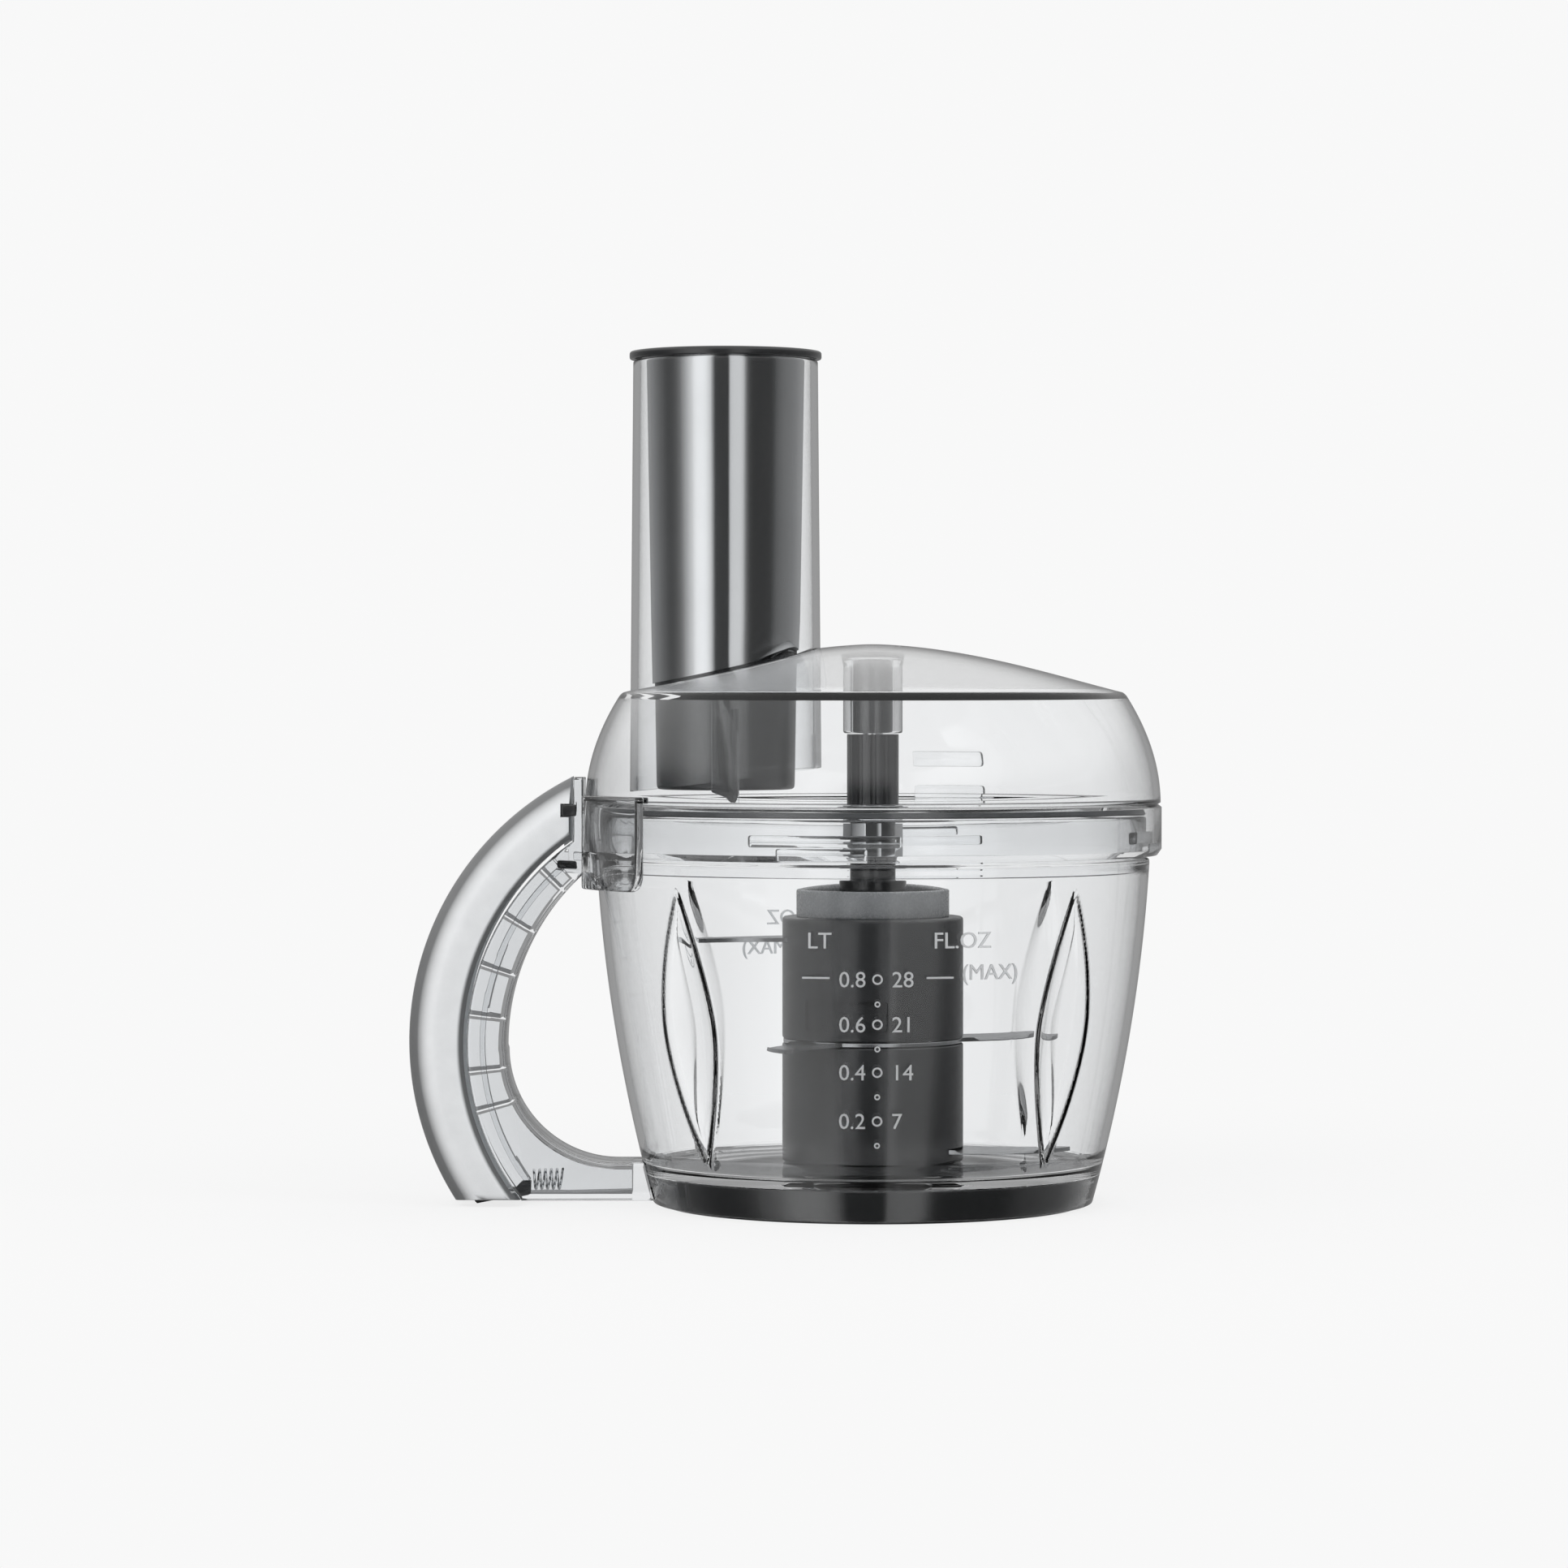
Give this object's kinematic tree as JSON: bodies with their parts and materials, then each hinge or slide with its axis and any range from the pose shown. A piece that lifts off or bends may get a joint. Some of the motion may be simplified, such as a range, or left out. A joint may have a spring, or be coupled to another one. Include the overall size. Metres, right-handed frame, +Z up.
{
  "type": "food processor bowl",
  "caption": "Clear food processor bowl with looped handle, bayonet lid, offset feed tube with hollow pusher, and a knife set on a central drive spindle.",
  "frame": {"origin": "on the bowl's axis, in the plane that the base stands on, at the lower end of the drive coupling", "axes": "+Z up along the bowl's axis; the handle points to -X; the front, with the measuring scale, is -Y"},
  "size_m": [0.2239, 0.172, 0.2541],
  "materials": {
    "clear_plastic": "clear moulded plastic, high gloss",
    "satin_silver": "satin silver paint on plastic",
    "dark_gloss": "black gloss plastic",
    "dark_plastic": "fine satin dark grey plastic",
    "hub_plastic": "dark grey plastic, satin",
    "rubber": "grey silicone",
    "steel": "turned steel",
    "blade_steel": "ground stainless steel",
    "polished_steel": "polished stainless steel"
  },
  "bodies": {
    "base": {"bowl_shell": "clear_plastic", "base_collar": "dark_gloss", "lower_bush": "dark_plastic", "upper_bush": "dark_plastic", "shaft_seal": "rubber", "handle_frame": "clear_plastic", "handle_cover": "satin_silver", "cover_clip_front": "dark_plastic", "cover_clip_back": "dark_plastic", "interlock_spring": "steel"},
    "interlock": {"interlock_link": "clear_plastic", "interlock_head": "dark_plastic", "interlock_tip": "dark_plastic"},
    "knife": {"drive_coupling": "dark_plastic", "thrust_washer": "steel", "spindle": "steel", "spindle_clip": "steel", "hub_lower": "hub_plastic", "hub_upper": "hub_plastic", "hub_collar": "hub_plastic", "upper_blade": "blade_steel", "middle_blade": "blade_steel", "lower_blade": "blade_steel", "stem_connector": "dark_gloss", "stem_nut": "steel", "stem_ring": "clear_plastic", "disc_stem": "dark_plastic", "stem_pin": "steel"},
    "lid_ring": {"lid_seal": "rubber"},
    "lid": {"lid_cover": "clear_plastic", "lid_bush": "dark_plastic", "feed_tube": "clear_plastic"},
    "pusher": {"pusher_body": "dark_plastic", "pusher_sleeve": "polished_steel"}
  },
  "joints": [
    {"name": "blade_spin", "type": "hinge", "parent": "base", "child": "knife", "pos_m": [0, 0, 0.04], "axis": [0, 0, 1], "continuous": true},
    {"name": "lid_twist", "type": "hinge", "parent": "base", "child": "lid_ring", "pos_m": [0, 0, 0.11], "axis": [0, 0, 1], "range_deg": [0, 26]},
    {"name": "lid_lift", "type": "slide", "parent": "lid_ring", "child": "lid", "axis": [0, 0, 1], "range_m": [0, 0.08]},
    {"name": "pusher_slide", "type": "slide", "parent": "lid", "child": "pusher", "axis": [0, 0, 1], "range_m": [0, 0.13]},
    {"name": "interlock_travel", "type": "hinge", "parent": "base", "child": "interlock", "pos_m": [-0.046, 0, 0.048], "axis": [0, 1, 0], "range_deg": [0, 2.2]}
  ],
  "couplings": [
    {"joint": "interlock_travel", "follows": "lid_twist", "ratio": 0.084614}
  ]
}
